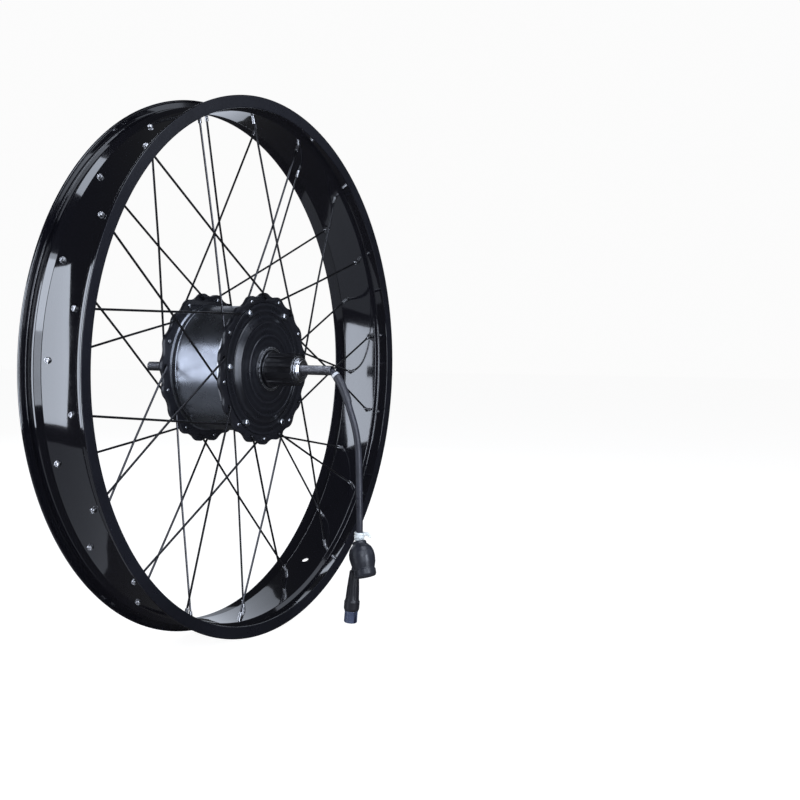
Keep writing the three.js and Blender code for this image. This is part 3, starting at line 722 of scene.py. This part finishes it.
def cover_mesh():
    """The cover with its raised rings, and the notches round the freehub's opening."""
    outline = [
        (15.3, -33.2), (15.3, -46.8), (22.2, -46.8), (24, -44.4), (33.6, -44.3), (34.4, -45), (36, -45),
        (36.8, -44.2), (49, -43.9), (49.8, -44.6), (51.8, -44.5), (57.4, -40.2), (58.2, -39.3), (60, -39.2),
        (60.8, COVER_FACE_Y), (COVER_R, COVER_FACE_Y), (COVER_R, -36.3), (57, -36.3), (50, -40.4),
        (20, -33.2),
    ]
    base = revolved(rounded(outline, 0.4), COVER_SEGMENTS)
    cuts = []
    for k in range(COVER_NOTCHES):
        degrees = 360 * k / COVER_NOTCHES
        cuts.append(tube([polar(22.4, degrees, y) for y in (-45.4, -48)], 1.5, 12))
    return combined(base, [merged(*cuts)], "DIFFERENCE")


piece("drive_cover_body", cover_mesh(), COVER_BLACK, "wheel", ["drive_side_cover"])


def lock_ring_mesh():
    """The toothed ring round the foot of the freehub."""
    root, tip = 22.7, 23.9
    outline = []
    for tooth in range(LOCK_RING_TEETH):
        for turn, radius in ((0.0, root), (0.12, tip), (0.56, tip), (0.68, root)):
            outline.append(flat_polar(radius, 360 * (tooth + turn) / LOCK_RING_TEETH))
    return plate(outline, [circle(20.4, 72)], -47.5, -46.7, 0.15)


piece("cover_lock_ring", lock_ring_mesh(), RING_SATIN, "wheel")


def hexagon(radius, y, degrees):
    """Makes the socket of a screw head six-sided and leaves the rest round."""
    if radius > SOCKET_R + 0.1:
        return radius
    return radius / math.cos(math.radians(degrees % 60 - 30)) * SOCKET_FLAT


def screw_mesh():
    """A domed socket screw that points along +Y, from the bottom of its socket to its tip."""
    socket = [(0, 1.9), (1.5, 1.9), (SOCKET_R, -0.35)]
    head = [(2.3, -0.25), (3.3, 0.25), (3.95, 1.2), (4.05, 2.1), (3.9, 2.5)]
    shank = [(2.1, 2.6), (2.1, 10), (0, 10)]
    return revolved([*socket, *head, *shank], 36, hexagon)


for k in range(COVER_SCREWS):
    at = polar(SCREW_CIRCLE_R, SCREW_PHASE + 360 / COVER_SCREWS * k, COVER_FACE_Y - 2.7)
    mesh = laid(screw_mesh(), at, Vector((0, 1, 0)))
    piece(f"cover_screw_head_{k + 1}", mesh, SCREW_STEEL, "wheel", [f"cover_screw_{k + 1}"])

# ---------------------------------------------------------------- freehub, axle and locknuts
SPLINES = 9
SPLINE_ROOT_R = 15.7
SPLINE_SLOPE = 1.3  # degrees between the top and the root of a spline's side
FREEHUB_R = 17.2


def freehub_mesh():
    """The splined body, whose first spline is the narrow one, and the shoulder at its foot."""
    outline = []
    for k in range(SPLINES):
        centre = 360 * k / SPLINES
        half = 6 if k == 0 else 10
        foot = half + SPLINE_SLOPE
        top = [(half * t / 3, FREEHUB_R) for t in range(-3, 4)]
        for offset, radius in ((-foot, SPLINE_ROOT_R), *top, (foot, SPLINE_ROOT_R)):
            outline.append(flat_polar(radius, centre + offset))
    body = plate(outline, [circle(13.4, 48)], -81.3, -50.4, 0.3)
    shoulder = revolved(rounded([(13.4, -50.6), (19.4, -50.6), (19.4, -48.6), (13.4, -48.6)], 0.4), 72)
    return combined(body, [shoulder], "UNION")


piece("freehub_splines", freehub_mesh(), FREEHUB_BLACK, "freehub", ["freehub_body"])
end_ring = [
    (11.9, -80.4), (11.9, -81.3), (13.2, -81.5), (13.9, -81.9), (14.6, -81.8), (14.8, -81.3), (14.8, -80.4),
]
piece("freehub_end_ring", revolved(rounded(end_ring, 0.15), 72), MACHINED, "freehub")

AXLE_R = 6
THREAD_PITCH = 1.25
THREAD_DEPTH = 0.5
THREAD_ROWS = 6  # in one turn
FLAT_Z = 5
DROPOUT_Y = 87.5
AXLE_DRIVE_END = -123
AXLE_BRAKE_END = 115.7


def thread_rows(y0, y1):
    """Places along a thread from y0 to y1."""
    count = int(abs(y1 - y0) / THREAD_PITCH * THREAD_ROWS)
    return [y0 + (y1 - y0) * i / count for i in range(count + 1)]


def axle_warp(radius, y, degrees):
    """Cuts a helical thread into the ends of the axle and then its two flats."""
    if abs(y) < DROPOUT_Y - 0.3:
        return radius
    if radius > AXLE_R - 0.4:
        phase = (y / THREAD_PITCH + degrees / 360) % 1
        radius -= THREAD_DEPTH * abs(2 * phase - 1)
    sine = abs(math.sin(math.radians(degrees)))
    return FLAT_Z / sine if radius * sine > FLAT_Z else radius


def axle_mesh():
    """From the cable's bore over the drive end, the shoulders and the brake end to its centre hole."""
    drive, brake = AXLE_DRIVE_END, AXLE_BRAKE_END
    rows = [
        (0, -90), (3.9, -90), (3.9, drive + 0.3), (4.3, drive), (5.1, drive),
        *((AXLE_R, y) for y in thread_rows(drive + 0.8, -83)),
        (8.5, -81.9), (8.5, -25), (12, -25), (12, 2), (AXLE_R, 2.8),
        *((AXLE_R, y) for y in thread_rows(83.5, brake - 1)),
        (5, brake), (2.4, brake), (1.6, brake - 0.9), (1.3, brake - 4), (0, brake - 4.6),
    ]
    notch = tube([Vector((0, -116, 3)), Vector((0, -131, -9.5))], 4.1, 24)
    return combined(revolved(rows, 72, axle_warp), [notch], "DIFFERENCE")


piece("axle_threaded", axle_mesh(), AXLE_DARK, "axle_assembly", ["axle"], sharp=40)
drive_nut = [
    (6.3, -82.3), (13, -82.3), (13, -83.3), (11.4, -83.7), (11.4, -84.5), (12.1, -84.9), (12.1, -85.6),
    (10.4, -87.1), (9.9, -DROPOUT_Y), (6.9, -DROPOUT_Y), (6.3, -87),
]
drive_nut_mesh = revolved(rounded(drive_nut, 0.25), 96)
piece("drive_nut", drive_nut_mesh, CHROME, "axle_assembly", ["drive_side_locknut"])

NUT_FLAT_R = 9.3


def nut_flats(radius, y, degrees):
    """Six flats round a nut, whose bore stays round."""
    flat = NUT_FLAT_R / math.cos(math.radians(degrees % 60 - 30))
    return min(radius, flat) if radius > NUT_FLAT_R - 0.8 else radius


brake_nut = [(6.3, 83.4), (9.6, 83.4), (10, 83.9), (10, 87), (9.5, DROPOUT_Y), (6.9, DROPOUT_Y), (6.3, 87)]
brake_nut_mesh = revolved(rounded(brake_nut, 0.2), 96, nut_flats)
piece("brake_nut", brake_nut_mesh, CHROME, "axle_assembly", ["brake_side_locknut"])
seal = [(6.4, 81.8), (11.2, 81.8), (11.2, 82.8), (9.9, 83), (9.4, 82.6), (8, 82.6), (7.4, 83.1), (6.4, 82.7)]
piece("bearing_seal", revolved(rounded(seal, 0.15), 72), RUBBER, "wheel", ["brake_side_seal"])

# ---------------------------------------------------------------- cable and what is on it
CABLE_R = 3.5
ROUTE = [
    (0, -121.5, -1),
    (0, -126.6, -4.5),
    (0, -131.4, -10.5),
    (0, -136.3, -19),
    (0, -140.8, -29.5),
    (0, -144.9, -41),
    (0, -149.2, -53),
    (0, -152.4, -65),
    (0, -154.6, -79),
    (0, -155.6, -93),
    (0, -156, -108),
    (0, -156.4, -123),
    (0.1, -156.8, -136),
    (0.4, -157, -149),
    (0.9, -156.9, -160),
    (1.7, -156.3, -170),
    (2.8, -155, -180),
    (4, -153, -190),
    (5.1, -150.7, -199),
    (6, -148.6, -206.5),
]


def smooth_path(points, per_span=3):
    """A Catmull-Rom curve through the points."""
    points = [Vector(p) for p in points]
    ends = [points[0] * 2 - points[1], *points, points[-1] * 2 - points[-2]]
    result = []
    for a, b, c, d in zip(ends, ends[1:], ends[2:], ends[3:]):
        for s in range(per_span):
            t = s / per_span
            first_order = (c - a) * t
            second_order = (a * 2 - b * 5 + c * 4 - d) * t * t
            third_order = (b * 3 - a - c * 3 + d) * t**3
            result.append((b * 2 + first_order + second_order + third_order) / 2)
    return [*result, points[-1]]


cable_path = smooth_path(ROUTE)
cable_mesh = tube(cable_path, CABLE_R, 20)
cable = piece("cable_jacket", cable_mesh, CABLE_GREY, "axle_assembly", ["motor_cable"])

sheath = [(3.55, 0.8), (4.1, 0.8), (4.3, 1.4), (4.2, 3.8), (3.55, 3.8)]
sheath_along = (cable_path[4] - cable_path[2]).normalized()
sheath_mesh = laid(revolved(rounded(sheath, 0.2), 32), cable_path[2], sheath_along)
white_sheath = piece("inner_sheath", sheath_mesh, INNER_WHITE, "axle_assembly")

SLEEVE_R = 4.55
sleeve_points = cable_path[4:14]
ripples = [0.25 * math.sin(2.3 * i) * math.exp(-0.25 * i) for i in range(len(sleeve_points))]
sleeve_radii = [SLEEVE_R + ripple for ripple in ripples]
sleeve_radii[-1] = SLEEVE_R - 0.5
sleeve_mesh = tube(sleeve_points, sleeve_radii, 24)
sleeve = piece("heat_shrink_sleeve", sleeve_mesh, SLEEVE_GREY, "axle_assembly", ["cable_sleeve"])

TIE_POINT = 45  # the place of the tie in cable_path
tie_at = cable_path[TIE_POINT]
tie_along = (cable_path[TIE_POINT + 1] - cable_path[TIE_POINT - 1]).normalized()
tie_band = [
    (3.6, -4.4), (4.9, -4.4), (5.4, -3.2), (4.8, -1.8), (5.5, 0), (4.9, 1.9), (5.3, 3.3), (4.7, 4.4),
    (3.6, 4.4),
]
band_mesh = laid(revolved(rounded(tie_band, 0.5), 32), tie_at, tie_along)
tail_steps = [(0, -4.4, 1.5), (0.3, -8, 3), (0.6, -11, 2), (0.6, -12.8, -0.5)]
tail_path = smooth_path([tie_at + Vector(step) for step in tail_steps])
tail_mesh = tube(tail_path, [1.9, 1.9, 1.9, 1.9, 1.8, 1.8, 1.7, 1.6, 1.4, 1.1], 10)
tie_mesh = merged(band_mesh, tail_mesh)
tie = piece("cable_tie_wrap", tie_mesh, TIE_WHITE, "axle_assembly", ["cable_tie"])

BOOT_TOP = Vector((0, -157, -175))
BOOT_DOWN = Vector((-0.15, -0.32, -0.935)).normalized()
boot_outline = [
    (0, 0), (6.6, 0), (7.4, 1), (7.2, 3), (9, 4.6), (11.4, 7.5), (13, 12), (13.4, 17), (12.7, 23),
    (11.2, 27.6), (10.6, 29), (11.4, 30.4), (11.2, 35.4), (10, 37.4), (0, 37.8),
]
boot_mesh = laid(revolved(rounded(boot_outline, 1.6, 4), 48), BOOT_TOP, BOOT_DOWN)
boot = piece("rubber_boot", boot_mesh, BOOT_RUBBER, "axle_assembly", ["nut_boot"])

PLUG_TOP = Vector((6.1, -148.45, -207.3))
PLUG_DOWN = Vector((0.04, 0.1, -0.994)).normalized()


GRIP_GROOVES = 8
GRIP_DEPTH = 0.45


def grip(radius, y, degrees):
    """Cuts shallow grooves along the middle of the plug."""
    if not 8 < y < 30:
        return radius
    return radius - GRIP_DEPTH * max(0.0, math.cos(math.radians(GRIP_GROOVES * degrees))) ** 3


plug_outline = [
    (0, 0), (4.6, 0), (5.1, 0.8), (5.2, 4), (5.6, 8.2), (5.9, 12), (6.4, 18), (6.8, 24), (7.1, 29.6),
    (7.3, 31), (8.1, 32.4), (8.1, 39.8), (7.5, 41.9), (0, 42),
]
plug_mesh = laid(revolved(rounded(plug_outline, 0.5), 64, grip), PLUG_TOP, PLUG_DOWN)
plug = piece("connector_shell", plug_mesh, RUBBER, "axle_assembly", ["connector_body"])
collar_outline = [
    (0, 42.3), (7, 42.3), (7.1, 43.2), (6.8, 43.8), (6.9, 54.2), (6.5, 54.9), (6, 54.9), (5.8, 46), (0, 46),
]
collar_mesh = laid(revolved(rounded(collar_outline, 0.25), 48), PLUG_TOP, PLUG_DOWN)
collar = piece(
    "connector_end_collar", collar_mesh, COLLAR_BLUE, "axle_assembly", ["connector_collar"]
)


OUTER_PINS = 8
PIN_CIRCLE_R = 3.4


def pin_mesh(radius, degrees):
    """A contact pin that stands on the floor of the collar."""
    path = [polar(radius, degrees, y) for y in (46, 53, 53.6)]
    return tube(path, [0.55, 0.55, 0.25], 10)


outer_pins = [pin_mesh(PIN_CIRCLE_R, 360 / OUTER_PINS * k) for k in range(OUTER_PINS)]
pins = merged(pin_mesh(0, 0), *outer_pins)
pin_set = piece("connector_pins", laid(pins, PLUG_TOP, PLUG_DOWN), PIN_GOLD, "axle_assembly")

# ---------------------------------------------------------------- CAD nodes that stay, inside the hub
INNER_LOOKS = [
    (LAMINATION, ["stator_core"]),
    (COPPER, ["stator_winding"]),
    (BOARD, ["hall_sensor_board"]),
    (MAGNET, ["magnet_ring"]),
    (NYLON, [f"planet_gear_{k}" for k in (1, 2, 3)]),
    (MACHINED, ["rotor_can", "rotor_bearing", "sun_gear", "ring_gear", "planet_carrier", "one_way_clutch"]),
    (MACHINED, [f"planet_pin_{k}" for k in (1, 2, 3)]),
    (MACHINED, ["brake_side_bearing", "drive_side_bearing"]),
    (MACHINED, ["freehub_core", "freehub_inner_bearing", "freehub_outer_bearing"]),
]
for shader, names in INNER_LOOKS:
    for name in names:
        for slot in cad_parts[name].material_slots:
            slot.material = shader.material


# ---------------------------------------------------------------- floor, light and world
FLOOR_Z = -RIM_R * MM - 0.0004
LAMP_COLOUR = (0.8, 0.87, 1.0)


def add_floor():
    """A pale floor that glows a little, so that it is as white as the background."""
    shader = Shader("floor_pale", (0.25, 0.25, 0.25), 0.0, 0.7, Emission_Strength=0.95)
    shader.bsdf.inputs["Emission Color"].default_value = (1, 1, 1, 1)
    shader.tinted(shader.noise(3), (0.27, 0.27, 0.27)).raised(shader.noise(300), 0.05, 0.2)
    mesh = bmesh.new()
    bmesh.ops.create_circle(mesh, cap_ends=True, segments=64, radius=12)
    bmesh.ops.translate(mesh, vec=(0, 0, FLOOR_Z), verts=mesh.verts)
    data = bpy.data.meshes.new("floor")
    mesh.to_mesh(data)
    data.materials.append(shader.material)
    floor = bpy.data.objects.new("floor", data)
    bpy.context.scene.collection.objects.link(floor)
    floor.visible_glossy = False
    floor.visible_shadow = False


def add_softbox(name, place, target, width, height, power):
    """A rectangular lamp of some watts that faces a target. The camera doesn't see it."""
    data = bpy.data.lights.new(name, "AREA")
    data.shape = "RECTANGLE"
    data.size = width
    data.size_y = height
    data.energy = power
    data.color = LAMP_COLOUR
    lamp = bpy.data.objects.new(name, data)
    aim = Vector(target) - Vector(place)
    lamp.matrix_world = Matrix.Translation(place) @ aim.to_track_quat("-Z", "Y").to_matrix().to_4x4()
    lamp.visible_camera = False
    bpy.context.scene.collection.objects.link(lamp)


def add_world(seen, felt):
    """White where the camera looks past everything, and dim where it lights and is reflected."""
    world = bpy.data.worlds.new("studio")
    world.use_nodes = True
    nodes, links = world.node_tree.nodes, world.node_tree.links
    nodes["Background"].inputs["Color"].default_value = (0.93, 0.95, 1, 1)
    nodes["Background"].inputs["Strength"].default_value = felt
    bright = nodes.new("ShaderNodeBackground")
    bright.inputs["Color"].default_value = (1, 1, 1, 1)
    bright.inputs["Strength"].default_value = seen
    path = nodes.new("ShaderNodeLightPath")
    mix = nodes.new("ShaderNodeMixShader")
    links.new(path.outputs["Is Camera Ray"], mix.inputs["Fac"])
    links.new(nodes["Background"].outputs["Background"], mix.inputs[1])
    links.new(bright.outputs["Background"], mix.inputs[2])
    links.new(mix.outputs["Shader"], nodes["World Output"].inputs["Surface"])
    bpy.context.scene.world = world


add_floor()
add_softbox("left_back", (-1.697, 1.173, 0.28), (-0.11, -0.04, 0.1), 0.68, 2.0, 22)
add_softbox("right_back", (1.9, 1.35, 0.5), (0, 0, 0), 0.9, 1.8, 3)
add_softbox("behind_camera", (-1.95, -1.36, 0.5), (0, 0, 0), 0.5, 2.2, 12)
add_softbox("front", (-0.75, -2.2, 0.35), (0, 0, 0), 0.6, 1.9, 34)
add_softbox("back", (0.9, 2.3, 1.0), (0, 0, 0), 1.0, 1.4, 9)
add_softbox("key_front_left", (-1.7, -1.3, 1.0), (0, 0, 0), 0.8, 1.1, 10)
add_softbox("top", (-0.2, -0.9, 1.7), (0, 0, 0), 1.2, 1.0, 16)
add_softbox("fill_right", (1.5, -1.7, 0.9), (0, 0, 0), 0.9, 0.9, 2)
add_softbox("bounce", (-0.9, 0.7, -1.4), (0, 0, 0), 1.8, 1.8, 2.5)
add_world(0.97, 0.025)
bpy.context.scene.view_settings.view_transform = "Standard"

bpy.context.view_layer.update()
